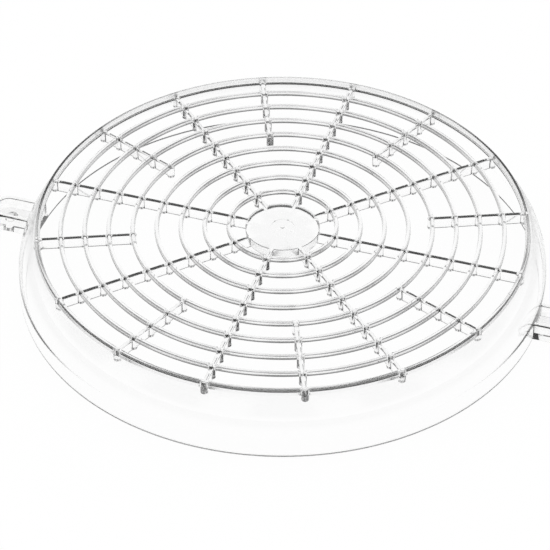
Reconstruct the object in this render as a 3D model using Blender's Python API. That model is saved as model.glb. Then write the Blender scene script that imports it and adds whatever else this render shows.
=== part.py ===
"""Clear moulded fan guard: a round two-level grille on a low bell-shaped wall with two screw ears.

One injection moulding. Metres, +Z up. The origin is the middle of the rim that lies on the panel,
the ears point along +X and -X, and long spokes lie on the X and Y axes and on the diagonals.
"""

import math

import bmesh
import bpy
from mathutils import Matrix, Vector

# The grille's rings, which stand on the spokes
RING_COUNT = 9
HUB_TO_FIRST_RING = 0.0068
RING_FOOT_WIDTH = 0.0020
RING_TOP_WIDTH = 0.0014
RING_HEIGHT = 0.0021
RING_SEGMENTS = (80, 64, 64, 48, 48, 48, 48, 32, 32)

# The spokes below them, with a round post under each ring
SPOKE_COUNT = 16
SHORT_SPOKE_RINGS = 5
SPOKE_TOP_HEIGHT = 0.0265
SPOKE_DEPTH = 0.0049
SPOKE_TOP_WIDTH = 0.0019
SPOKE_FOOT_WIDTH = 0.0015
SPOKE_END_INSET = 0.0003
POST_TOP_RADIUS = 0.0017
POST_FOOT_RADIUS = 0.0015
POST_ARC_STEPS = 3
RING_SINK = 0.0003

# The hub disc, as deep as the spokes, with the round recess that holds the gate mark
HUB_RADIUS = 0.0153
HUB_DRAFT = 0.0004
HUB_SEGMENTS = 40
SPOKE_ROOT_DEPTH = 0.0030
GATE_RECESS_RADIUS = 0.0048
GATE_RECESS_DEPTH = 0.0004
GATE_MARK_RADIUS = 0.0009
GATE_SEGMENTS = 16

# The wall: a straight collar, then one arc in to the foot of the outer ring
WALL_OUTER_RADIUS = 0.1088
WALL_THICKNESS = 0.0020
COLLAR_ABOVE_EARS = 0.0012
SHOULDER_REACH = 0.0073
OUTER_RING_FACE = 0.0029
SHOULDER_STEPS = 4

# The two ears
EAR_WIDTH = 0.0146
EAR_HEIGHT = 0.0078
EAR_LENGTH = 0.0202
EAR_RIM_THICKNESS = 0.0022
EAR_FLOOR_THICKNESS = 0.0025
EAR_END_STEPS = 12
HOLE_TO_TIP = 0.0085
HOLE_DIAMETER = 0.0050
HOLE_SEGMENTS = 20

# How far a cutter runs past the faces that it cuts
CUT_MARGIN = 0.001

# Worked out from the sizes above
RING_OUTER_RADIUS = WALL_OUTER_RADIUS - SHOULDER_REACH
OUTER_RING_CENTRE = RING_OUTER_RADIUS - RING_FOOT_WIDTH / 2
RING_PITCH = (OUTER_RING_CENTRE - HUB_RADIUS - HUB_TO_FIRST_RING) / (RING_COUNT - 1)
RING_CENTRE_RADII = [OUTER_RING_CENTRE - k * RING_PITCH for k in range(RING_COUNT)]
RING_FOOT_HEIGHT = SPOKE_TOP_HEIGHT - RING_SINK
RING_TOP_HEIGHT = RING_FOOT_HEIGHT + RING_HEIGHT
SPOKE_FOOT_HEIGHT = SPOKE_TOP_HEIGHT - SPOKE_DEPTH
COLLAR_HEIGHT = EAR_HEIGHT + COLLAR_ABOVE_EARS
SHOULDER_TOP_HEIGHT = RING_TOP_HEIGHT - OUTER_RING_FACE
WALL_MIDDLE_RADIUS = WALL_OUTER_RADIUS - WALL_THICKNESS / 2
EAR_TIP_REACH = WALL_OUTER_RADIUS + EAR_LENGTH
HOLE_REACH = EAR_TIP_REACH - HOLE_TO_TIP


def clear_scene():
    """Remove every object that the scene starts with."""
    for obj in list(bpy.data.objects):
        bpy.data.objects.remove(obj, do_unlink=True)


def clear_plastic():
    """Colourless clear polycarbonate with a polished moulded face."""
    material = bpy.data.materials.new("clear_polycarbonate")
    material.use_nodes = True
    shader = material.node_tree.nodes["Principled BSDF"]
    shader.inputs["Base Color"].default_value = (0.93, 0.95, 0.94, 1.0)
    shader.inputs["Metallic"].default_value = 0.0
    shader.inputs["Roughness"].default_value = 0.05
    shader.inputs["IOR"].default_value = 1.585
    shader.inputs["Transmission Weight"].default_value = 1.0
    return material


def add_object(name, bm):
    """Turn a bmesh into a scene object with all its faces pointing out."""
    bmesh.ops.recalc_face_normals(bm, faces=bm.faces)
    mesh = bpy.data.meshes.new(name)
    bm.to_mesh(mesh)
    bm.free()
    obj = bpy.data.objects.new(name, mesh)
    bpy.context.scene.collection.objects.link(obj)
    return obj


def add_turned(bm, profile, segments):
    """Spin a closed (radius, height) profile round Z; the middle of a flat facet faces +X."""
    start = math.pi / segments
    turn = Matrix.Rotation(start, 3, "Z")
    verts = [bm.verts.new(turn @ Vector((radius, 0.0, height))) for radius, height in profile]
    edges = [bm.edges.new((verts[i - 1], verts[i])) for i in range(len(verts))]
    bmesh.ops.spin(bm, geom=verts + edges, cent=(0, 0, 0), axis=(0, 0, 1), angle=2 * math.pi,
                   steps=segments, use_merge=True)


def add_drafted(bm, top, top_height, foot, foot_height):
    """Loft a solid between two outlines with the same number of points, which may taper."""
    upper = [bm.verts.new((x, y, top_height)) for x, y in top]
    lower = [bm.verts.new((x, y, foot_height)) for x, y in foot]
    bm.faces.new(upper)
    bm.faces.new(list(reversed(lower)))
    for i in range(len(upper)):
        bm.faces.new((upper[i - 1], lower[i - 1], lower[i], upper[i]))


def circle(reach, radius, segments):
    """Points of a circle round a centre on the X axis; the middle of a flat side faces +X."""
    angles = [2 * math.pi * (step + 0.5) / segments for step in range(segments)]
    return [(reach + radius * math.cos(a), radius * math.sin(a)) for a in angles]


def ring_profile(centre_radius):
    """Section of a ring: its foot is sunk in the spokes, and it narrows towards its top."""
    foot = RING_FOOT_WIDTH / 2
    top = RING_TOP_WIDTH / 2
    return [
        (centre_radius - foot, RING_FOOT_HEIGHT),
        (centre_radius + foot, RING_FOOT_HEIGHT),
        (centre_radius + top, RING_TOP_HEIGHT),
        (centre_radius - top, RING_TOP_HEIGHT),
    ]


def shoulder_arc(inset):
    """Arc up from the collar, whose outer line (inset 0) ends at the outer ring's foot."""
    reach = WALL_OUTER_RADIUS - RING_OUTER_RADIUS
    rise = SHOULDER_TOP_HEIGHT - COLLAR_HEIGHT
    sweep = 2 * math.atan(reach / rise)
    radius = rise / math.sin(sweep)
    centre = WALL_OUTER_RADIUS - radius
    radius -= inset
    angles = [sweep * step / SHOULDER_STEPS for step in range(SHOULDER_STEPS + 1)]
    return [(centre + radius * math.cos(a), COLLAR_HEIGHT + radius * math.sin(a)) for a in angles]


def wall_profile():
    """Section of the wall and the outer ring on top of it, outside first and then back down."""
    centre = RING_CENTRE_RADII[0]
    outside = [(WALL_OUTER_RADIUS, 0.0)] + shoulder_arc(0.0)
    inside = list(reversed(shoulder_arc(WALL_THICKNESS))) + [(WALL_OUTER_RADIUS - WALL_THICKNESS, 0.0)]
    ring = [
        (centre + RING_TOP_WIDTH / 2, RING_TOP_HEIGHT),
        (centre - RING_TOP_WIDTH / 2, RING_TOP_HEIGHT),
        (centre - RING_FOOT_WIDTH / 2, SHOULDER_TOP_HEIGHT),
    ]
    return outside + ring + inside


def spoke_side(rings, width, post_radius):
    """Left side of a spoke's outline, outwards along +X: an arc round each post under a ring."""
    centres = sorted(RING_CENTRE_RADII[1:rings]) + [RING_OUTER_RADIUS - SPOKE_END_INSET - post_radius]
    meet = math.asin(width / 2 / post_radius)
    sweep = math.pi - 2 * meet
    angles = [math.pi - meet - sweep * step / POST_ARC_STEPS for step in range(POST_ARC_STEPS + 1)]
    return [(c + post_radius * math.cos(a), post_radius * math.sin(a)) for c in centres for a in angles]


def turned_point(point, angle):
    """A plan point turned about the middle of the guard."""
    x, y = point
    return (x * math.cos(angle) - y * math.sin(angle), x * math.sin(angle) + y * math.cos(angle))


def spoke_outline(rings, angle, root, width, post_radius):
    """Outline of a spoke with posts under its rings, anticlockwise; root holds a long one's inner radius."""
    left = [(radius, width / 2) for radius in root] + spoke_side(rings, width, post_radius)
    right = [(x, -y) for x, y in left]
    return [turned_point(point, angle) for point in right + list(reversed(left))]


def make_spokes():
    """The long spokes, which start inside the hub, and the short ones that start under a ring."""
    bm = bmesh.new()
    for index in range(SPOKE_COUNT):
        angle = 2 * math.pi * index / SPOKE_COUNT
        if index % 2 == 0:
            plan = (RING_COUNT, angle, [HUB_RADIUS - SPOKE_ROOT_DEPTH])
        else:
            plan = (SHORT_SPOKE_RINGS, angle, [])
        upper = spoke_outline(*plan, SPOKE_TOP_WIDTH, POST_TOP_RADIUS)
        lower = spoke_outline(*plan, SPOKE_FOOT_WIDTH, POST_FOOT_RADIUS)
        add_drafted(bm, upper, SPOKE_TOP_HEIGHT, lower, SPOKE_FOOT_HEIGHT)
    return add_object("spokes", bm)


def make_hub():
    """The hub disc that the long spokes run into."""
    bm = bmesh.new()
    top = circle(0.0, HUB_RADIUS, HUB_SEGMENTS)
    foot = circle(0.0, HUB_RADIUS - HUB_DRAFT, HUB_SEGMENTS)
    add_drafted(bm, top, SPOKE_TOP_HEIGHT, foot, SPOKE_FOOT_HEIGHT)
    return add_object("hub", bm)


def make_gate_recess():
    """Cutter for the hub's round recess, which leaves the stub of the gate in its middle."""
    bm = bmesh.new()
    floor = SPOKE_TOP_HEIGHT - GATE_RECESS_DEPTH
    profile = [
        (GATE_MARK_RADIUS, floor),
        (GATE_RECESS_RADIUS, floor),
        (GATE_RECESS_RADIUS, SPOKE_TOP_HEIGHT + CUT_MARGIN),
        (GATE_MARK_RADIUS, SPOKE_TOP_HEIGHT + CUT_MARGIN),
    ]
    add_turned(bm, profile, GATE_SEGMENTS)
    return add_object("gate_recess", bm)


def make_rings_and_wall():
    """The rings of the upper level, and the wall that carries the outer one."""
    bm = bmesh.new()
    add_turned(bm, wall_profile(), RING_SEGMENTS[0])
    for centre, segments in zip(RING_CENTRE_RADII[1:], RING_SEGMENTS[1:]):
        add_turned(bm, ring_profile(centre), segments)
    return add_object("fan_guard", bm)


def ear_outline(inset, inner_end):
    """Round-ended outline along +X, narrowed all round by inset."""
    radius = EAR_WIDTH / 2 - inset
    centre = EAR_TIP_REACH - EAR_WIDTH / 2
    angles = [math.pi * (step / EAR_END_STEPS - 0.5) for step in range(EAR_END_STEPS + 1)]
    arc = [(centre + radius * math.cos(a), radius * math.sin(a)) for a in angles]
    return [(inner_end, -radius)] + arc + [(inner_end, radius)]


def boolean(target, tool, operation):
    """Apply one exact Boolean and remove the tool."""
    modifier = target.modifiers.new(operation.lower(), "BOOLEAN")
    modifier.operation = operation
    modifier.object = tool
    modifier.solver = "EXACT"
    graph = bpy.context.evaluated_depsgraph_get()
    mesh = bpy.data.meshes.new_from_object(target.evaluated_get(graph))
    target.modifiers.clear()
    target.data = mesh
    bpy.data.objects.remove(tool, do_unlink=True)


def extruded(name, outline, low, high):
    """A straight-sided block with the given plan."""
    bm = bmesh.new()
    add_drafted(bm, outline, high, outline, low)
    return add_object(name, bm)


def make_ear(direction):
    """One ear: a tray with a rim round a floor, and the screw hole through the floor."""
    ear = extruded("ear", ear_outline(0.0, WALL_MIDDLE_RADIUS), 0.0, EAR_HEIGHT)
    pocket_start = WALL_MIDDLE_RADIUS - CUT_MARGIN
    pocket = extruded("ear_pocket", ear_outline(EAR_RIM_THICKNESS, pocket_start), EAR_FLOOR_THICKNESS,
                      EAR_HEIGHT + CUT_MARGIN)
    boolean(ear, pocket, "DIFFERENCE")
    hole_plan = circle(HOLE_REACH, HOLE_DIAMETER / 2, HOLE_SEGMENTS)
    hole = extruded("ear_hole", hole_plan, -CUT_MARGIN, EAR_FLOOR_THICKNESS + CUT_MARGIN)
    boolean(ear, hole, "DIFFERENCE")
    if direction < 0:
        ear.data.transform(Matrix.Rotation(math.pi, 4, "Z"))
    return ear


def smooth_shading(obj):
    """Round faces shade smooth, and the moulding's edges stay crisp."""
    obj.data.shade_smooth()
    obj.data.set_sharp_from_angle(angle=math.radians(25))


def main():
    clear_scene()
    spokes = make_spokes()
    boolean(spokes, make_hub(), "UNION")
    boolean(spokes, make_gate_recess(), "DIFFERENCE")
    guard = make_rings_and_wall()
    boolean(guard, spokes, "UNION")
    for direction in (1, -1):
        boolean(guard, make_ear(direction), "UNION")
    guard.data.materials.clear()
    guard.data.materials.append(clear_plastic())
    smooth_shading(guard)


main()
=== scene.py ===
"""Looks of the clear plastic fan guard: one fine moulding in place of its plain solid, in a white studio."""

import math

import bmesh
import bpy
from bpy.props import FloatProperty, IntProperty, PointerProperty, StringProperty
from mathutils import Matrix, Vector


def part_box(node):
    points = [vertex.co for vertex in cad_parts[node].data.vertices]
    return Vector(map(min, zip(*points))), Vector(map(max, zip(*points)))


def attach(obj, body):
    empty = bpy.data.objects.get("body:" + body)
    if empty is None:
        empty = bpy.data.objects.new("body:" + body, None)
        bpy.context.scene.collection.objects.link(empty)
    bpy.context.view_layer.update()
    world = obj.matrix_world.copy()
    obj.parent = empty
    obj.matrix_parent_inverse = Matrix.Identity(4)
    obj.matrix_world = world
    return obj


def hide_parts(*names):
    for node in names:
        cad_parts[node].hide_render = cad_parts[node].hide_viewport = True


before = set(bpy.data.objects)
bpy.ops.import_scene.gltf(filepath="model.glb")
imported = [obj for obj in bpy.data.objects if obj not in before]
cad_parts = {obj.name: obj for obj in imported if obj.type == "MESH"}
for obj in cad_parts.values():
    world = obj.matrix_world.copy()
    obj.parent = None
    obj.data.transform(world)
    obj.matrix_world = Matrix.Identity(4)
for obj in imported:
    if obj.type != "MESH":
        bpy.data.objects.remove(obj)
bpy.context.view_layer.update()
# The solid's box ends at an ear's tip along X, at the wall along Y and at the rings' tops along Z
EAR_TIP, WALL_RADIUS, GRILLE_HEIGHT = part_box("fan_guard")[1]

bl_info = {
    "name": "Clear Fan Guard",
    "version": (1, 0, 0),
    "blender": (4, 5, 0),
    "location": "3D View > Sidebar > Fan Guard",
    "description": "Builds the fine moulding of a clear plastic fan guard and its studio",
    "category": "Add Mesh",
}

MM = 0.001
SECTORS = 8
SECTOR_ANGLE = 2 * math.pi / SECTORS
# A sector starts between a short and a long spoke, so that its cut ends cross no spoke
SECTOR_START = -SECTOR_ANGLE / 4
SHORT_SPOKE_ANGLE = SECTOR_ANGLE / 2

# Straight pieces in each curve
RING_STEPS = 32
SECTION_EDGE_STEPS = 3
SHOULDER_STEPS = 14
RIB_EDGE_STEPS = 5
POST_STEPS = 8
POST_END_STEPS = 4
HUB_STEPS = 16
HUB_EDGE_STEPS = 4
EAR_STEPS = 24
HOLE_STEPS = 48
# A multiple of the sectors, so that each has the same part of the gate's recess
GATE_STEPS = 8 * SECTORS
# Rings inside this radius need fewer pieces
INNER_RING_RADIUS = 50 * MM
INNER_RING_STEPS = 16

# Points closer than this are one
WELD = 0.002 * MM
# How far a cutter reaches past what it cuts
CUT_MARGIN = 1 * MM
# An ear's foot is a hair above the wall's, so that the two share no plane
EAR_LIFT = 0.02 * MM
# Edges between faces that turn more than this stay crisp
CRISP_ANGLE = math.radians(28)

# Upright faces are those whose normal has less than this share along Z
UPRIGHT = 0.6
# How far a satin zone's limit lies beyond the faces in it
ZONE_MARGIN = 0.3 * MM
# Shorter ripples on top of the long ones: how many times halved, and their strength
RIPPLE_DETAIL = 2.0
RIPPLE_ROUGHNESS = 0.4

# Half the paper's side
PAPER_REACH = 3.0
# The bright part of the paper fades out up to this many times its reach
SHEET_FADE = 1.5
# Air under the foot: paper that touched the plastic would take away its bright rim
FLOOR_GAP = 0.1 * MM


class GuardSizes(bpy.types.PropertyGroup):
    """Sizes of the moulding. Ribs and wall are finer than the solid's where that decides how they look."""

    ring_count: IntProperty(name="Rings", description="Rings of the grille, the outer one included",
                            default=9)
    ring_pitch: FloatProperty(name="Ring pitch", description="From ring to ring",
                              default=9.8 * MM, unit="LENGTH")
    ring_outer: FloatProperty(name="Grille radius", description="To the outer ring's outer foot",
                              default=101.5 * MM, unit="LENGTH")
    ring_foot: FloatProperty(name="Ring foot", description="Width of a ring's foot",
                             default=2.0 * MM, unit="LENGTH")
    outer_foot: FloatProperty(name="Outer foot", description="Width of the outer ring's foot",
                              default=2.3 * MM, unit="LENGTH")
    ring_top: FloatProperty(name="Ring top", description="Width of a ring's top",
                            default=1.12 * MM, unit="LENGTH")
    ring_height: FloatProperty(name="Ring height", description="Foot to top",
                               default=2.1 * MM, unit="LENGTH")
    ring_edge: FloatProperty(name="Ring edge", description="Radius of the rings' edges and the wall's foot",
                             default=0.2 * MM, unit="LENGTH")
    ring_sink: FloatProperty(name="Ring sink", description="Depth of a ring's foot in the spokes",
                             default=0.3 * MM, unit="LENGTH")
    short_rings: IntProperty(name="Short spoke rings", description="Rings that a short spoke carries",
                             default=5)
    spoke_depth: FloatProperty(name="Spoke depth", description="Top to foot",
                               default=4.9 * MM, unit="LENGTH")
    spoke_top: FloatProperty(name="Spoke top", description="Width at the top",
                             default=1.9 * MM, unit="LENGTH")
    spoke_foot: FloatProperty(name="Spoke foot", description="Width at the foot",
                              default=1.3 * MM, unit="LENGTH")
    spoke_inset: FloatProperty(name="Spoke end inset",
                               description="From the outer ring's face in to a spoke's end",
                               default=0.3 * MM, unit="LENGTH")
    spoke_root: FloatProperty(name="Spoke root", description="How deep a long spoke starts inside the hub",
                              default=3.0 * MM, unit="LENGTH")
    crown: FloatProperty(name="Spoke crown", description="Radius of the edges on top of the spokes",
                         default=0.2 * MM, unit="LENGTH")
    foot_edge: FloatProperty(name="Foot radius", description="Radius of the edges under the spokes",
                             default=0.2 * MM, unit="LENGTH")
    post_top: FloatProperty(name="Post radius", description="Radius of a post at its top",
                            default=1.55 * MM, unit="LENGTH")
    post_foot: FloatProperty(name="Post foot", description="Radius of a post at its foot",
                             default=1.5 * MM, unit="LENGTH")
    hub_radius: FloatProperty(name="Hub radius", description="Radius of the hub disc",
                              default=15.3 * MM, unit="LENGTH")
    hub_depth: FloatProperty(name="Hub depth", description="Top to foot of the hub disc",
                             default=4.9 * MM, unit="LENGTH")
    hub_draft: FloatProperty(name="Hub draft", description="How much the hub's radius narrows to its foot",
                             default=0.4 * MM, unit="LENGTH")
    hub_foot_edge: FloatProperty(name="Hub foot radius", description="Radius of the edge under the hub",
                                 default=0.5 * MM, unit="LENGTH")
    gate_radius: FloatProperty(name="Gate recess", description="Radius of the recess in the hub",
                               default=4.8 * MM, unit="LENGTH")
    gate_depth: FloatProperty(name="Gate depth", description="Depth of that recess",
                              default=0.4 * MM, unit="LENGTH")
    gate_mark: FloatProperty(name="Gate stub", description="Radius of the stub in it",
                             default=0.9 * MM, unit="LENGTH")
    wall: FloatProperty(name="Wall", description="Thickness of the wall at its foot",
                        default=2.0 * MM, unit="LENGTH")
    shoulder_wall: FloatProperty(name="Shoulder wall", description="Thickness of the wall above its collar",
                                 default=1.0 * MM, unit="LENGTH")
    collar: FloatProperty(name="Collar", description="Height of the straight collar",
                          default=9.0 * MM, unit="LENGTH")
    shoulder: FloatProperty(name="Shoulder", description="Height where the wall meets the outer ring",
                            default=25.4 * MM, unit="LENGTH")
    ear_width: FloatProperty(name="Ear width", description="Across an ear",
                             default=14.6 * MM, unit="LENGTH")
    ear_height: FloatProperty(name="Ear height", description="Up to an ear's rim",
                              default=7.8 * MM, unit="LENGTH")
    ear_rim: FloatProperty(name="Ear rim", description="Thickness of an ear's rim",
                           default=2.2 * MM, unit="LENGTH")
    ear_edge: FloatProperty(name="Ear edge", description="Radius of the edges on top of an ear's rim",
                            default=0.8 * MM, unit="LENGTH")
    ear_floor: FloatProperty(name="Ear floor", description="Thickness of an ear's floor",
                             default=2.5 * MM, unit="LENGTH")
    hole_reach: FloatProperty(name="Hole reach", description="From the middle to a screw hole",
                              default=120.5 * MM, unit="LENGTH")
    hole_radius: FloatProperty(name="Hole radius", description="Radius of a screw hole",
                               default=2.5 * MM, unit="LENGTH")
    edge: FloatProperty(name="Edge radius", description="Radius of the moulding's other edges",
                        default=0.25 * MM, unit="LENGTH")


class GuardFinish(bpy.types.PropertyGroup):
    """Finish of the plastic."""

    tint: StringProperty(name="Tint", description="Colour that the plastic gives light, as sRGB hex",
                         default="FFFFFF")
    ior: FloatProperty(name="IOR", description="Refractive index of clear polycarbonate",
                       default=1.585, min=1, max=3)
    roughness: FloatProperty(name="Roughness", description="Of the polished faces",
                             default=0.02, min=0, max=1, subtype="FACTOR")
    ring_roughness: FloatProperty(name="Ring roughness", description="Of the rings' sides",
                                  default=0.1, min=0, max=1, subtype="FACTOR")
    outer_roughness: FloatProperty(name="Outer ring roughness", description="Of the outer ring's sides",
                                   default=0.25, min=0, max=1, subtype="FACTOR")
    post_roughness: FloatProperty(name="Post roughness", description="Of the posts' sides",
                                  default=0.15, min=0, max=1, subtype="FACTOR")
    spoke_roughness: FloatProperty(name="Spoke roughness", description="Of the spokes' sides",
                                   default=0.08, min=0, max=1, subtype="FACTOR")
    hub_roughness: FloatProperty(name="Hub roughness", description="Of the hub's side",
                                 default=0.2, min=0, max=1, subtype="FACTOR")
    wall_roughness: FloatProperty(name="Wall roughness",
                                  description="Of the wall where it meets the outer ring",
                                  default=0.2, min=0, max=1, subtype="FACTOR")
    wall_fade: FloatProperty(name="Wall fade", description="Height over which that satin fades down the wall",
                             default=5 * MM, unit="LENGTH")
    foot_roughness: FloatProperty(name="Foot roughness", description="Of the wall's foot",
                                  default=0.12, min=0, max=1, subtype="FACTOR")
    foot_band: FloatProperty(name="Foot band", description="Height of the satin band on the wall's foot",
                             default=0.1 * MM, unit="LENGTH")
    ripple: FloatProperty(name="Ripple", description="Distance between sink ripples",
                          default=14 * MM, unit="LENGTH")
    ripple_height: FloatProperty(name="Ripple height", description="Height of those ripples",
                                 default=0.02 * MM, unit="LENGTH")


class StudioSettings(bpy.types.PropertyGroup):
    """Camera, floor and light."""

    azimuth: FloatProperty(name="Azimuth", description="Camera's turn round the guard",
                           default=math.radians(17.65), subtype="ANGLE")
    elevation: FloatProperty(name="Elevation", description="Camera's height angle",
                             default=math.radians(40.12), subtype="ANGLE")
    distance: FloatProperty(name="Distance", description="Camera to aim point",
                            default=1.170, unit="LENGTH")
    lens: FloatProperty(name="Lens", description="Focal length in millimetres on a 36 mm sensor",
                        default=187.1, unit="CAMERA")
    aim_right: FloatProperty(name="Aim right", description="Aim point right of the hub's top, in the picture",
                             default=-3.10 * MM, unit="LENGTH")
    aim_up: FloatProperty(name="Aim up", description="Aim point above the hub's top, in the picture",
                          default=-19.94 * MM, unit="LENGTH")
    floor: StringProperty(name="Floor", description="Floor colour, as sRGB hex", default="FFFFFF")
    shadow: FloatProperty(name="Shadow", description="Share of the guard's shadow that the floor keeps",
                          default=0.03, min=0, max=1, subtype="FACTOR")
    sheet_reach: FloatProperty(name="Bright sheet", description="How far the brightly lit floor reaches",
                               default=0.125, unit="LENGTH")
    far_floor: FloatProperty(name="Far floor", description="Brightness of the floor beyond it", default=0.4)
    ceiling_start: FloatProperty(name="Ceiling start",
                                 description="Height of a direction where the ceiling starts to darken",
                                 default=0.0)
    ceiling_full: FloatProperty(name="Ceiling full", description="Height where it is fully dark",
                                default=0.25)
    ceiling: FloatProperty(name="Ceiling", description="Brightness between the cards, seen through plastic",
                           default=0.8)
    card: FloatProperty(name="Card", description="Brightness of the dark cards, seen through plastic",
                        default=0.2)
    cards: IntProperty(name="Cards", description="Dark cards round the studio", default=8)
    card_turn: FloatProperty(name="Card turn", description="Direction of the first card",
                             default=math.radians(107.65), subtype="ANGLE")
    card_width: FloatProperty(name="Card width",
                              description="Width of a card, with its soft edges halfway out",
                              default=math.radians(17), subtype="ANGLE")


def rounded(corners, steps):
    """Closed outline from (x, y, radius) corners, each replaced by an arc of its radius."""
    points = []
    for i, (x, y, radius) in enumerate(corners):
        here = Vector((x, y))
        if radius == 0:
            points.append(here)
            continue
        back = (Vector(corners[i - 1][:2]) - here).normalized()
        ahead = (Vector(corners[(i + 1) % len(corners)][:2]) - here).normalized()
        half = back.angle(ahead) / 2
        centre = here + (back + ahead).normalized() * (radius / math.sin(half))
        start = here + back * (radius / math.tan(half)) - centre
        end = here + ahead * (radius / math.tan(half)) - centre
        sweep = start.angle_signed(end)
        for step in range(steps + 1):
            points.append(centre + Matrix.Rotation(-sweep * step / steps, 2) @ start)
    return [(p.x, p.y) for p in points]


def add_skin(bm, rows, closed):
    """Faces from row to row of points, with flat ends unless the last row leads back to the first."""
    for near, far in zip(rows, rows[1:] + rows[:1] if closed else rows[1:]):
        for i in range(len(near)):
            bm.faces.new((near[i - 1], near[i], far[i], far[i - 1]))
    if not closed:
        bm.faces.new(list(reversed(rows[0])))
        bm.faces.new(rows[-1])


def add_swept(bm, profile, start, sweep, steps):
    """Closed solid: a (radius, height) profile swept round Z through an angle."""
    closed = math.isclose(sweep, 2 * math.pi)
    rows = []
    for step in range(steps if closed else steps + 1):
        angle = start + sweep * step / steps
        rows.append([bm.verts.new((r * math.cos(angle), r * math.sin(angle), z)) for r, z in profile])
    add_skin(bm, rows, closed)


def add_lofted(bm, levels):
    """Closed solid through (outline, height) levels of equal point count, from the foot up."""
    rows = [[bm.verts.new((x, y, height)) for x, y in outline] for outline, height in levels]
    add_skin(bm, rows, False)


def add_object(name, bm):
    """Turn a bmesh into an object of the scene."""
    bmesh.ops.recalc_face_normals(bm, faces=bm.faces)
    mesh = bpy.data.meshes.new(name)
    bm.to_mesh(mesh)
    bm.free()
    obj = bpy.data.objects.new(name, mesh)
    bpy.context.scene.collection.objects.link(obj)
    return obj


def boolean(target, tool, operation):
    """Apply one exact Boolean and remove the tool."""
    modifier = target.modifiers.new(operation.lower(), "BOOLEAN")
    modifier.operation = operation
    modifier.object = tool
    modifier.solver = "EXACT"
    graph = bpy.context.evaluated_depsgraph_get()
    mesh = bpy.data.meshes.new_from_object(target.evaluated_get(graph))
    target.modifiers.clear()
    target.data = mesh
    bpy.data.objects.remove(tool, do_unlink=True)


def ring_centres(sizes):
    """Centre-line radii of the rings, from the outer one in."""
    outer = sizes.ring_outer - sizes.ring_foot / 2
    return [outer - k * sizes.ring_pitch for k in range(sizes.ring_count)]


def ring_foot_height(sizes):
    """Height of the rings' feet."""
    return GRILLE_HEIGHT - sizes.ring_height


def spoke_top_height(sizes):
    """Height of the spokes' and the hub's top, into which the rings' feet sink."""
    return ring_foot_height(sizes) + sizes.ring_sink


def ring_profile(sizes, centre):
    """Section of a ring with rounded edges."""
    foot = ring_foot_height(sizes)
    corners = [
        (centre - sizes.ring_foot / 2, foot, sizes.ring_edge),
        (centre + sizes.ring_foot / 2, foot, sizes.ring_edge),
        (centre + sizes.ring_top / 2, GRILLE_HEIGHT, sizes.ring_edge),
        (centre - sizes.ring_top / 2, GRILLE_HEIGHT, sizes.ring_edge),
    ]
    return rounded(corners, SECTION_EDGE_STEPS)


def shoulder_arc(sizes, inset):
    """Arc up from the collar, whose outer line (inset 0) ends at the outer ring's foot."""
    reach = WALL_RADIUS - sizes.ring_outer
    rise = sizes.shoulder - sizes.collar
    sweep = 2 * math.atan(reach / rise)
    bend = rise / math.sin(sweep)
    centre = WALL_RADIUS - bend
    radius = bend - inset
    angles = [sweep * step / SHOULDER_STEPS for step in range(SHOULDER_STEPS + 1)]
    return [(centre + radius * math.cos(a), sizes.collar + radius * math.sin(a)) for a in angles]


def wall_profile(sizes):
    """Section of the wall and the outer ring on top of it."""
    centre = ring_centres(sizes)[0]
    outside = [(r, z, 0) for r, z in shoulder_arc(sizes, 0)]
    inside = [(r, z, 0) for r, z in reversed(shoulder_arc(sizes, sizes.shoulder_wall))]
    corners = [(WALL_RADIUS - sizes.wall, 0, sizes.ring_edge), (WALL_RADIUS, 0, sizes.ring_edge)]
    corners += outside[:-1] + [(*outside[-1][:2], sizes.edge)]
    corners += [
        (centre + sizes.ring_top / 2, GRILLE_HEIGHT, sizes.ring_edge),
        (centre - sizes.ring_top / 2, GRILLE_HEIGHT, sizes.ring_edge),
        (sizes.ring_outer - sizes.outer_foot, sizes.shoulder, sizes.ring_edge),
    ]
    return rounded(corners + inside, SECTION_EDGE_STEPS)


def last_post(sizes, post_radius):
    """Centre of the post at a spoke's outer end."""
    return sizes.ring_outer - sizes.spoke_inset - post_radius


def spoke_side(sizes, rings, width, post_radius, inset):
    """Left side of a spoke's outline, outwards along +X: an arc round each post that stands under a ring."""
    centres = sorted(ring_centres(sizes)[1:rings]) + [last_post(sizes, post_radius)]
    radius = post_radius - inset
    meet = math.asin((width / 2 - inset) / radius)
    angles = [math.pi - meet - (math.pi - 2 * meet) * step / POST_STEPS for step in range(POST_STEPS + 1)]
    return [(c + radius * math.cos(a), radius * math.sin(a)) for c in centres for a in angles]


def end_arc(centre, radius, half, direction):
    """Points round a post's free end, between its two side lines; direction is 1 outwards and -1 inwards."""
    meet = math.asin(half / radius)
    angles = [meet - 2 * meet * step / POST_END_STEPS for step in range(1, POST_END_STEPS)]
    return [(centre + direction * radius * math.cos(a), radius * math.sin(a)) for a in angles]


def spoke_outline(sizes, rings, angle, width, post_radius, inset):
    """Outline of a spoke, anticlockwise from its inner end on the right; a long one starts inside the hub."""
    half = width / 2 - inset
    radius = post_radius - inset
    left = spoke_side(sizes, rings, width, post_radius, inset)
    if rings == sizes.ring_count:
        left = [(sizes.hub_radius - sizes.spoke_root, half)] + left
    right = [(x, -y) for x, y in left]
    outer_end = list(reversed(end_arc(last_post(sizes, post_radius), radius, half, 1)))
    points = right + outer_end + list(reversed(left))
    if rings < sizes.ring_count:
        points += end_arc(ring_centres(sizes)[rings - 1], radius, half, -1)
    turn = Matrix.Rotation(angle, 2)
    return [tuple(turn @ Vector(p)) for p in points]


def hub_outline(radius):
    """One sector of the hub, anticlockwise from the middle."""
    angles = [SECTOR_START + SECTOR_ANGLE * step / HUB_STEPS for step in range(HUB_STEPS + 1)]
    return [(0.0, 0.0)] + [(radius * math.cos(a), radius * math.sin(a)) for a in angles]


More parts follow.
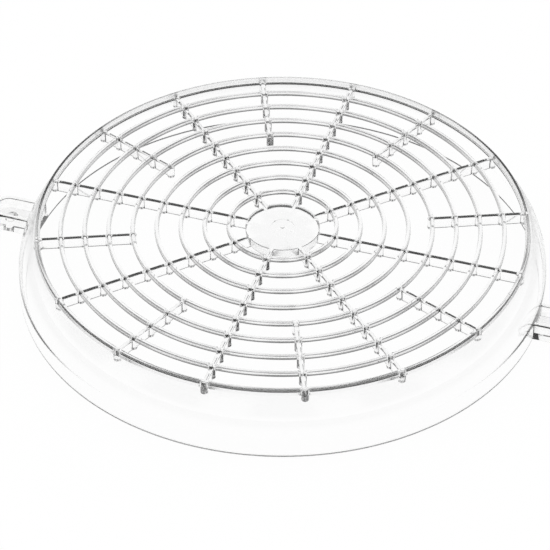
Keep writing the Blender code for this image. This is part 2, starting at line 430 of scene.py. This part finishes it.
def edge_levels(low, high, low_edge, high_edge, steps):
    """(share of the height, inset, height) of each level of a body with rounded foot and top edges."""
    quarter = [math.pi / 2 * step / steps for step in range(steps + 1)]
    foot = [(low_edge * (1 - math.sin(a)), low + low_edge * (1 - math.cos(a))) for a in quarter]
    top = [(high_edge * (1 - math.cos(a)), high - high_edge * (1 - math.sin(a))) for a in quarter]
    return [((z - low) / (high - low), inset, z) for inset, z in foot + top]


def spoke_levels(sizes):
    """Levels through the spokes' depth: (width, post radius, inset, height), from the foot up."""
    high = spoke_top_height(sizes)
    low = high - sizes.spoke_depth
    levels = []
    for share, inset, height in edge_levels(low, high, sizes.foot_edge, sizes.crown, RIB_EDGE_STEPS):
        width = sizes.spoke_foot + (sizes.spoke_top - sizes.spoke_foot) * share
        post = sizes.post_foot + (sizes.post_top - sizes.post_foot) * share
        levels.append((width, post, inset, height))
    return levels


def hub_levels(sizes):
    """Levels through the hub's depth: (outline, height), from the foot up."""
    high = spoke_top_height(sizes)
    levels = []
    for share, inset, height in edge_levels(high - sizes.hub_depth, high, sizes.hub_foot_edge, sizes.edge,
                                            HUB_EDGE_STEPS):
        levels.append((hub_outline(sizes.hub_radius - sizes.hub_draft * (1 - share) - inset), height))
    return levels


def make_sector(sizes):
    """One eighth of the grille and wall, closed, with flat ends on its two cut planes."""
    bm = bmesh.new()
    add_swept(bm, wall_profile(sizes), SECTOR_START, SECTOR_ANGLE, RING_STEPS)
    for centre in ring_centres(sizes)[1:]:
        steps = RING_STEPS if centre > INNER_RING_RADIUS else INNER_RING_STEPS
        add_swept(bm, ring_profile(sizes, centre), SECTOR_START, SECTOR_ANGLE, steps)
    sector = add_object("sector", bm)
    bm = bmesh.new()
    for rings, angle in ((sizes.ring_count, 0), (sizes.short_rings, SHORT_SPOKE_ANGLE)):
        add_lofted(bm, [(spoke_outline(sizes, rings, angle, width, post, inset), height)
                        for width, post, inset, height in spoke_levels(sizes)])
    boolean(sector, add_object("spokes", bm), "UNION")
    bm = bmesh.new()
    add_lofted(bm, hub_levels(sizes))
    boolean(sector, add_object("hub", bm), "UNION")
    return sector


def make_gate_recess(sizes):
    """Cutter for the hub's round recess, which leaves the stub of the gate in its middle."""
    top = spoke_top_height(sizes)
    floor = top - sizes.gate_depth
    profile = [(sizes.gate_mark, floor), (sizes.gate_radius, floor),
               (sizes.gate_radius, top + CUT_MARGIN), (sizes.gate_mark, top + CUT_MARGIN)]
    bm = bmesh.new()
    add_swept(bm, profile, math.pi / GATE_STEPS, 2 * math.pi, GATE_STEPS)
    return add_object("gate_recess", bm)


def ear_outline(sizes, inset, root):
    """Outline of an ear from its root inside the wall round its tip, with its free side set in."""
    radius = sizes.ear_width / 2 - inset
    centre = EAR_TIP - sizes.ear_width / 2
    angles = [math.pi * (step / EAR_STEPS - 0.5) for step in range(EAR_STEPS + 1)]
    arc = [(centre + radius * math.cos(a), radius * math.sin(a)) for a in angles]
    return [(root, -radius)] + arc + [(root, radius)]


def make_ear_pocket(sizes, start):
    """Cutter for an ear's pocket: a rounded corner at its floor, and the rim's rounded edge at its top."""
    rim, floor, high = sizes.ear_rim, sizes.ear_floor, sizes.ear_height
    edge, rim_edge = sizes.edge, sizes.ear_edge
    quarter = [math.pi / 2 * step / RIB_EDGE_STEPS for step in range(RIB_EDGE_STEPS + 1)]
    levels = [(rim + edge * (1 - math.sin(a)), floor + edge * (1 - math.cos(a))) for a in quarter]
    levels += [(rim - rim_edge * (1 - math.cos(a)), high - rim_edge * (1 - math.sin(a))) for a in quarter]
    levels += [(rim - rim_edge, high + CUT_MARGIN)]
    bm = bmesh.new()
    add_lofted(bm, [(ear_outline(sizes, inset, start), z) for inset, z in levels])
    return add_object("ear_pocket", bm)


def make_screw_hole(sizes):
    """Cutter for an ear's screw hole, with a chamfer at both ends."""
    radius, edge, floor = sizes.hole_radius, sizes.edge, sizes.ear_floor
    levels = [(radius + edge + CUT_MARGIN, -CUT_MARGIN), (radius, edge),
              (radius, floor - edge), (radius + edge + CUT_MARGIN, floor + CUT_MARGIN)]
    angles = [2 * math.pi * step / HOLE_STEPS for step in range(HOLE_STEPS)]
    bm = bmesh.new()
    add_lofted(bm, [([(sizes.hole_reach + r * math.cos(a), r * math.sin(a)) for a in angles], z)
                    for r, z in levels])
    return add_object("screw_hole", bm)


def make_ear(sizes):
    """The ear on +X: a tray with a rim round its floor and the screw hole through it."""
    root = WALL_RADIUS - sizes.wall / 2
    levels = edge_levels(EAR_LIFT, sizes.ear_height, sizes.edge, sizes.ear_edge, RIB_EDGE_STEPS)
    bm = bmesh.new()
    add_lofted(bm, [(ear_outline(sizes, inset, root), z) for _, inset, z in levels])
    ear = add_object("ear", bm)
    boolean(ear, make_ear_pocket(sizes, root - CUT_MARGIN), "DIFFERENCE")
    boolean(ear, make_screw_hole(sizes), "DIFFERENCE")
    return ear


def open_ends(bm):
    """Remove the flat ends on a sector's two cut planes."""
    doomed = []
    for angle in (SECTOR_START, SECTOR_START + SECTOR_ANGLE):
        normal = Vector((-math.sin(angle), math.cos(angle), 0))
        doomed += [f for f in bm.faces if all(abs(v.co.dot(normal)) < WELD for v in f.verts)]
    bmesh.ops.delete(bm, geom=list(set(doomed)), context="FACES")


def make_moulding(sizes):
    """The whole guard: sectors turned round Z and welded, those on the X axis with an ear."""
    plain = make_sector(sizes)
    boolean(plain, make_gate_recess(sizes), "DIFFERENCE")
    eared = bpy.data.objects.new("eared", plain.data.copy())
    bpy.context.scene.collection.objects.link(eared)
    boolean(eared, make_ear(sizes), "UNION")
    bm = bmesh.new()
    for index in range(SECTORS):
        source = eared if index % (SECTORS // 2) == 0 else plain
        part = bmesh.new()
        part.from_mesh(source.data)
        open_ends(part)
        turn = Matrix.Rotation(index * SECTOR_ANGLE, 3, "Z")
        bmesh.ops.rotate(part, verts=part.verts, cent=(0, 0, 0), matrix=turn)
        mesh = bpy.data.meshes.new("part")
        part.to_mesh(mesh)
        part.free()
        bm.from_mesh(mesh)
        bpy.data.meshes.remove(mesh)
    bmesh.ops.remove_doubles(bm, verts=bm.verts, dist=WELD)
    # Faces with many corners become well-shaped triangles, so that the mesh stays closed wherever it goes
    many_cornered = [face for face in bm.faces if len(face.verts) > 4]
    bmesh.ops.triangulate(bm, faces=many_cornered, ngon_method="BEAUTY")
    for obj in (plain, eared):
        bpy.data.objects.remove(obj, do_unlink=True)
    guard = add_object("fan_guard_moulding", bm)
    guard.data.shade_smooth()
    guard.data.set_sharp_from_angle(angle=CRISP_ANGLE)
    return guard


def linear(hex_colour):
    """An sRGB hex colour as linear RGBA."""
    channels = [int(hex_colour[i:i + 2], 16) / 255 for i in (0, 2, 4)]
    return tuple(c / 12.92 if c <= 0.04045 else ((c + 0.055) / 1.055) ** 2.4 for c in channels) + (1.0,)


def add_node(tree, kind, settings):
    """Add a node. A setting is the value of an attribute or socket, or the node or output that feeds it."""
    node = tree.nodes.new(kind)
    for name, value in settings.items():
        if hasattr(node, name):
            setattr(node, name, value)
            continue
        socket = next(s for s in node.inputs if name in (s.name, s.identifier))
        if isinstance(value, bpy.types.Node):
            value = value.outputs[0]
        if isinstance(value, bpy.types.NodeSocket):
            tree.links.new(value, socket)
        else:
            socket.default_value = value
    return node


def new_material(name):
    """A material with an empty node tree."""
    material = bpy.data.materials.new(name)
    material.use_nodes = True
    material.node_tree.nodes.clear()
    return material


def clear_polycarbonate(finish, sizes):
    """Clear polycarbonate, injection moulded: bright and colourless, with faint sink ripples.

    The mould is polished for the tops, the wall and the ears, which bend light as glass does. The sides of
    rings, spokes, posts and hub keep the satin of the cutter that made their slots, and so does the wall
    under the outer ring. Light that runs along inside the plastic leaves there spread out, in grey bands.
    """
    material = new_material("polycarbonate_injection_moulded_clear")
    tree = material.node_tree
    place = add_node(tree, "ShaderNodeTexCoord", {})
    ripple = add_node(tree, "ShaderNodeTexNoise", {
        "Vector": place.outputs["Object"], "Scale": 1 / finish.ripple, "Detail": RIPPLE_DETAIL,
        "Roughness": RIPPLE_ROUGHNESS})
    bump = add_node(tree, "ShaderNodeBump", {
        "Height": ripple, "Strength": 1.0, "Distance": finish.ripple_height})
    satin = satin_roughness(tree, place, finish, sizes)
    shader = add_node(tree, "ShaderNodeBsdfPrincipled", {
        "Base Color": linear(finish.tint), "IOR": finish.ior, "Transmission Weight": 1.0,
        "Normal": bump, "Roughness": satin})
    add_node(tree, "ShaderNodeOutputMaterial", {"Surface": shader})
    return material


def satin_roughness(tree, place, finish, sizes):
    """Roughness over the moulding: that of the polished faces, and more in each satin zone."""
    point = add_node(tree, "ShaderNodeSeparateXYZ", {"Vector": place.outputs["Object"]})
    height = point.outputs["Z"]
    flat = add_node(tree, "ShaderNodeCombineXYZ", {"X": point.outputs["X"], "Y": point.outputs["Y"]})
    radius = add_node(tree, "ShaderNodeVectorMath", {"operation": "LENGTH", "Vector": flat}).outputs["Value"]
    facing = add_node(tree, "ShaderNodeSeparateXYZ", {"Vector": place.outputs["Normal"]})
    tilt = add_node(tree, "ShaderNodeMath", {"operation": "ABSOLUTE", "Value": facing.outputs["Z"]})
    from_outer = add_node(tree, "ShaderNodeMath", {
        "operation": "SUBTRACT", "Value": radius, "Value_001": ring_centres(sizes)[0]})
    from_ring = add_node(tree, "ShaderNodeMath", {
        "operation": "PINGPONG", "Value": from_outer, "Value_001": sizes.ring_pitch / 2})
    limits = {
        "upright": (tilt, "LESS_THAN", UPRIGHT),
        "in_hub": (radius, "LESS_THAN", sizes.hub_radius + ZONE_MARGIN),
        "in_grille": (radius, "LESS_THAN", sizes.ring_outer + ZONE_MARGIN),
        "in_wall": (radius, "LESS_THAN", WALL_RADIUS + ZONE_MARGIN),
        "inside_outer_ring": (radius, "LESS_THAN", sizes.ring_outer - sizes.outer_foot),
        "from_outer_ring": (radius, "GREATER_THAN", sizes.ring_outer - sizes.outer_foot),
        "at_post": (from_ring, "LESS_THAN", sizes.post_top),
        "above_spokes": (height, "GREATER_THAN", ring_foot_height(sizes)),
        "below_rings": (height, "LESS_THAN", ring_foot_height(sizes)),
        "below_shoulder": (height, "LESS_THAN", sizes.shoulder - ZONE_MARGIN),
        "in_foot": (height, "LESS_THAN", finish.foot_band),
    }
    shares = {name: add_node(tree, "ShaderNodeMath", {
        "operation": comparison, "Value": value, "Value_001": limit})
        for name, (value, comparison, limit) in limits.items()}
    shares["up_the_wall"] = add_node(tree, "ShaderNodeMapRange", {
        "Value": height, "From Min": sizes.shoulder - finish.wall_fade, "From Max": sizes.shoulder,
        "To Min": 0.0, "To Max": 1.0})
    zones = [
        (finish.ring_roughness, "upright in_grille above_spokes"),
        (finish.outer_roughness, "upright in_grille above_spokes from_outer_ring"),
        (finish.post_roughness, "upright in_grille below_rings at_post"),
        (finish.spoke_roughness, "upright in_grille below_rings inside_outer_ring"),
        (finish.hub_roughness, "upright in_hub"),
        (finish.foot_roughness, "in_wall from_outer_ring below_shoulder in_foot"),
        (finish.wall_roughness, "in_wall from_outer_ring below_shoulder up_the_wall"),
    ]
    result = finish.roughness
    for roughness, names in zones:
        satin = roughness
        for name in names.split():
            satin = add_node(tree, "ShaderNodeMath", {
                "operation": "MULTIPLY", "Value": satin, "Value_001": shares[name]})
        result = add_node(tree, "ShaderNodeMath", {
            "operation": "MAXIMUM", "Value": result, "Value_001": satin})
    return result


class GUARD_OT_moulding(bpy.types.Operator):
    """Build the guard's moulding in place of its plain solid"""

    bl_idname = "guard.moulding"
    bl_label = "Build moulding"

    def execute(self, context):
        scene = context.scene
        guard = make_moulding(scene.guard_sizes)
        guard.data.materials.clear()
        guard.data.materials.append(clear_polycarbonate(scene.guard_finish, scene.guard_sizes))
        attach(guard, "root")
        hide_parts("fan_guard")
        return {"FINISHED"}


def white_paper(studio):
    """Smooth matt paper: it has no gloss, so only its white shows, and a faint part of the guard's shadow.

    Its glow is the white background. Through the plastic, the paper beyond the bright part looks darker.
    """
    material = new_material("paper_sweep_white")
    tree = material.node_tree
    colour = linear(studio.floor)
    place = add_node(tree, "ShaderNodeTexCoord", {})
    reach = add_node(tree, "ShaderNodeVectorMath", {"operation": "LENGTH", "Vector": place.outputs["Object"]})
    fall = add_node(tree, "ShaderNodeMapRange", {
        "interpolation_type": "SMOOTHSTEP", "Value": reach.outputs["Value"], "From Min": studio.sheet_reach,
        "From Max": studio.sheet_reach * SHEET_FADE, "To Min": 1.0, "To Max": studio.far_floor})
    path = add_node(tree, "ShaderNodeLightPath", {})
    strength = add_node(tree, "ShaderNodeMix", {
        "data_type": "FLOAT", "Factor_Float": path.outputs["Is Transmission Ray"], "A_Float": 1.0,
        "B_Float": fall})
    paper = add_node(tree, "ShaderNodeBsdfDiffuse", {"Color": colour})
    glow = add_node(tree, "ShaderNodeEmission", {"Color": colour, "Strength": strength})
    seen = path.outputs["Is Camera Ray"]
    for kind in ("Is Glossy Ray", "Is Transmission Ray"):
        seen = add_node(tree, "ShaderNodeMath", {
            "operation": "MAXIMUM", "Value": seen, "Value_001": path.outputs[kind]})
    share = add_node(tree, "ShaderNodeMath", {
        "operation": "MULTIPLY", "Value": seen, "Value_001": 1 - studio.shadow})
    mix = add_node(tree, "ShaderNodeMixShader", {"Fac": share, "Shader": paper, "Shader_001": glow})
    add_node(tree, "ShaderNodeOutputMaterial", {"Surface": mix})
    return material


def make_floor(studio):
    """White paper under the guard."""
    bm = bmesh.new()
    bmesh.ops.create_grid(bm, x_segments=1, y_segments=1, size=PAPER_REACH)
    floor = add_object("floor", bm)
    floor.location.z = -FLOOR_GAP
    floor.data.materials.append(white_paper(studio))


def make_world(studio):
    """Soft white light from all round; through the plastic, dark cards show high up between bright gaps."""
    world = bpy.data.worlds.new("studio")
    bpy.context.scene.world = world
    world.use_nodes = True
    tree = world.node_tree
    tree.nodes.clear()
    place = add_node(tree, "ShaderNodeTexCoord", {})
    axis = add_node(tree, "ShaderNodeSeparateXYZ", {"Vector": place.outputs["Generated"]})
    height = add_node(tree, "ShaderNodeMapRange", {
        "interpolation_type": "SMOOTHSTEP", "Value": axis.outputs["Z"], "From Min": studio.ceiling_start,
        "From Max": studio.ceiling_full})
    direction = add_node(tree, "ShaderNodeMath", {
        "operation": "ARCTAN2", "Value": axis.outputs["Y"], "Value_001": axis.outputs["X"]})
    from_first = add_node(tree, "ShaderNodeMath", {
        "operation": "SUBTRACT", "Value": direction, "Value_001": studio.card_turn})
    from_card = add_node(tree, "ShaderNodeMath", {
        "operation": "PINGPONG", "Value": from_first, "Value_001": math.pi / studio.cards})
    card = add_node(tree, "ShaderNodeMapRange", {
        "interpolation_type": "SMOOTHSTEP", "Value": from_card, "From Min": studio.card_width / 2,
        "From Max": studio.card_width, "To Min": studio.card, "To Max": studio.ceiling})
    shade = add_node(tree, "ShaderNodeMix", {
        "data_type": "FLOAT", "Factor_Float": height, "A_Float": 1.0, "B_Float": card})
    path = add_node(tree, "ShaderNodeLightPath", {})
    strength = add_node(tree, "ShaderNodeMix", {
        "data_type": "FLOAT", "Factor_Float": path.outputs["Is Transmission Ray"], "A_Float": 1.0,
        "B_Float": shade})
    light = add_node(tree, "ShaderNodeBackground", {"Color": (1, 1, 1, 1), "Strength": strength})
    add_node(tree, "ShaderNodeOutputWorld", {"Surface": light})


def make_camera(studio, sizes):
    """Camera at the photograph's viewing angle."""
    a, e = studio.azimuth, studio.elevation
    back = Vector((math.sin(a) * math.cos(e), -math.cos(a) * math.cos(e), math.sin(e)))
    right = Vector((math.cos(a), math.sin(a), 0))
    up = back.cross(right)
    aim = Vector((0, 0, spoke_top_height(sizes))) + right * studio.aim_right + up * studio.aim_up
    data = bpy.data.cameras.new("camera")
    data.lens = studio.lens
    camera = bpy.data.objects.new("camera", data)
    bpy.context.scene.collection.objects.link(camera)
    camera.location = aim + back * studio.distance
    camera.rotation_mode = "QUATERNION"
    camera.rotation_quaternion = (-back).to_track_quat("-Z", "Y")
    bpy.context.scene.camera = camera


class GUARD_OT_studio(bpy.types.Operator):
    """Set up the floor, the light and the camera"""

    bl_idname = "guard.studio"
    bl_label = "Set up studio"

    def execute(self, context):
        studio = context.scene.guard_studio
        make_floor(studio)
        make_world(studio)
        make_camera(studio, context.scene.guard_sizes)
        context.scene.view_settings.view_transform = "Standard"
        return {"FINISHED"}


class GUARD_PT_panel(bpy.types.Panel):
    """Lists the guard's operators"""

    bl_idname = "GUARD_PT_panel"
    bl_label = "Fan Guard"
    bl_space_type = "VIEW_3D"
    bl_region_type = "UI"
    bl_category = "Fan Guard"

    def draw(self, context):
        for operator in (GUARD_OT_moulding, GUARD_OT_studio):
            self.layout.operator(operator.bl_idname)


CLASSES = (GuardSizes, GuardFinish, StudioSettings, GUARD_OT_moulding, GUARD_OT_studio, GUARD_PT_panel)


def register():
    for cls in CLASSES:
        bpy.utils.register_class(cls)
    bpy.types.Scene.guard_sizes = PointerProperty(type=GuardSizes)
    bpy.types.Scene.guard_finish = PointerProperty(type=GuardFinish)
    bpy.types.Scene.guard_studio = PointerProperty(type=StudioSettings)


def unregister():
    del bpy.types.Scene.guard_studio
    del bpy.types.Scene.guard_finish
    del bpy.types.Scene.guard_sizes
    for cls in reversed(CLASSES):
        bpy.utils.unregister_class(cls)


def main():
    register()
    bpy.ops.guard.moulding()
    bpy.ops.guard.studio()


if __name__ == "__main__":
    main()
